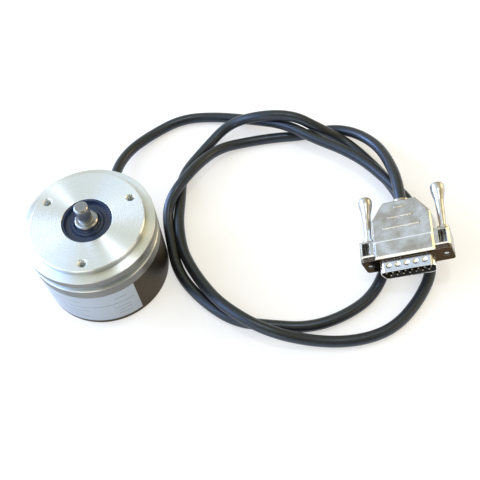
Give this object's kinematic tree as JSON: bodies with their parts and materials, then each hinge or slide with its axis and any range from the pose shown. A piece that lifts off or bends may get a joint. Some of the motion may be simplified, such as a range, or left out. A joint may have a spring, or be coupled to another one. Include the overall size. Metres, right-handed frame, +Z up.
{
  "type": "rotary encoder",
  "caption": "Shaft encoder with a turned synchro flange, stepped steel shaft, side cable gland and a looped cable to a metal-hooded D plug with thumbscrews.",
  "frame": {"origin": "centre of the cover's base, on the surface that the encoder stands on", "axes": "+Z up along the shaft, +Y along the cable outlet, +X towards the plug"},
  "size_m": [0.1867, 0.137, 0.0523],
  "materials": {
    "turned_aluminium": "fine face-turned",
    "cover_aluminium": "satin turned",
    "label_film": "silver-white film",
    "seal_rubber": "moulded",
    "zinc_steel": "zinc plated",
    "spring_steel": "phosphated",
    "shaft_steel": "ground",
    "bearing_steel": "ground and honed",
    "cage_steel": "pressed",
    "hub_brass": "turned",
    "disc_glass": "clear",
    "black_moulding": "moulded",
    "led_resin": "clear resin",
    "chip_black": "moulded",
    "board_laminate": "solder mask",
    "wire_insulation": "extruded",
    "gland_nickel": "nickel plated brass",
    "cable_sheath": "extruded PVC",
    "shell_tin": "tin plated steel",
    "pin_gold": "gold flash",
    "hood_plating": "nickel plated die casting",
    "screw_nickel": "nickel plated",
    "ring_nickel": "nickel plated"
  },
  "bodies": {
    "housing": {"flange": "turned_aluminium", "rear_cover": "cover_aluminium", "label": "label_film", "cover_o_ring": "seal_rubber", "cover_screws": "zinc_steel", "front_bearing_outer_ring": "bearing_steel", "rear_bearing_outer_ring": "bearing_steel", "outer_spacer": "bearing_steel", "bore_circlip": "spring_steel", "shaft_seal": "seal_rubber", "led_holder": "black_moulding", "led": "led_resin", "sensor_chip": "chip_black", "reticle": "disc_glass", "circuit_board": "board_laminate", "driver_chips": "chip_black", "wire_header": "black_moulding", "signal_wires": "wire_insulation", "upper_pillars": "hub_brass", "lower_pillars": "hub_brass", "gland_body": "gland_nickel", "gland_locknut": "gland_nickel", "gland_grommet": "seal_rubber", "gland_nut": "gland_nickel", "cable": "cable_sheath", "front_shell": "shell_tin", "rear_shell": "shell_tin", "insulator": "black_moulding", "contact_pins": "pin_gold", "core_wires": "wire_insulation", "hood_top": "hood_plating", "hood_bottom": "hood_plating", "hood_screws": "zinc_steel", "cable_clamp": "black_moulding"},
    "rotor": {"shaft": "shaft_steel", "front_bearing_inner_ring": "bearing_steel", "rear_bearing_inner_ring": "bearing_steel", "inner_spacer": "bearing_steel", "shaft_circlip": "spring_steel", "disc_hub": "hub_brass", "hub_screw": "zinc_steel", "code_disc": "disc_glass"},
    "front_ball_set": {"front_bearing_cage": "cage_steel", "front_bearing_balls": "bearing_steel"},
    "rear_ball_set": {"rear_bearing_cage": "cage_steel", "rear_bearing_balls": "bearing_steel"},
    "left_screw": {"left_thumbscrew": "screw_nickel", "left_thumb_ring": "ring_nickel"},
    "right_screw": {"right_thumbscrew": "screw_nickel", "right_thumb_ring": "ring_nickel"}
  },
  "joints": [
    {"name": "shaft_spin", "type": "hinge", "parent": "housing", "child": "rotor", "pos_m": [0, 0, 0.042], "axis": [0, 0, 1], "continuous": true},
    {"name": "front_balls_orbit", "type": "hinge", "parent": "housing", "child": "front_ball_set", "pos_m": [0, 0, 0.0345], "axis": [0, 0, 1], "continuous": true},
    {"name": "rear_balls_orbit", "type": "hinge", "parent": "housing", "child": "rear_ball_set", "pos_m": [0, 0, 0.0245], "axis": [0, 0, 1], "continuous": true},
    {"name": "left_screw_turn", "type": "hinge", "parent": "housing", "child": "left_screw", "pos_m": [0.12198, 0.00183, 0.01157], "axis": [0.0278, 0.9968, 0.075], "continuous": true},
    {"name": "right_screw_turn", "type": "hinge", "parent": "housing", "child": "right_screw", "pos_m": [0.15305, 0.00007, 0.02348], "axis": [0.0278, 0.9968, 0.075], "continuous": true}
  ],
  "couplings": [
    {"joint": "front_balls_orbit", "follows": "shaft_spin", "ratio": 0.418},
    {"joint": "rear_balls_orbit", "follows": "shaft_spin", "ratio": 0.418}
  ]
}
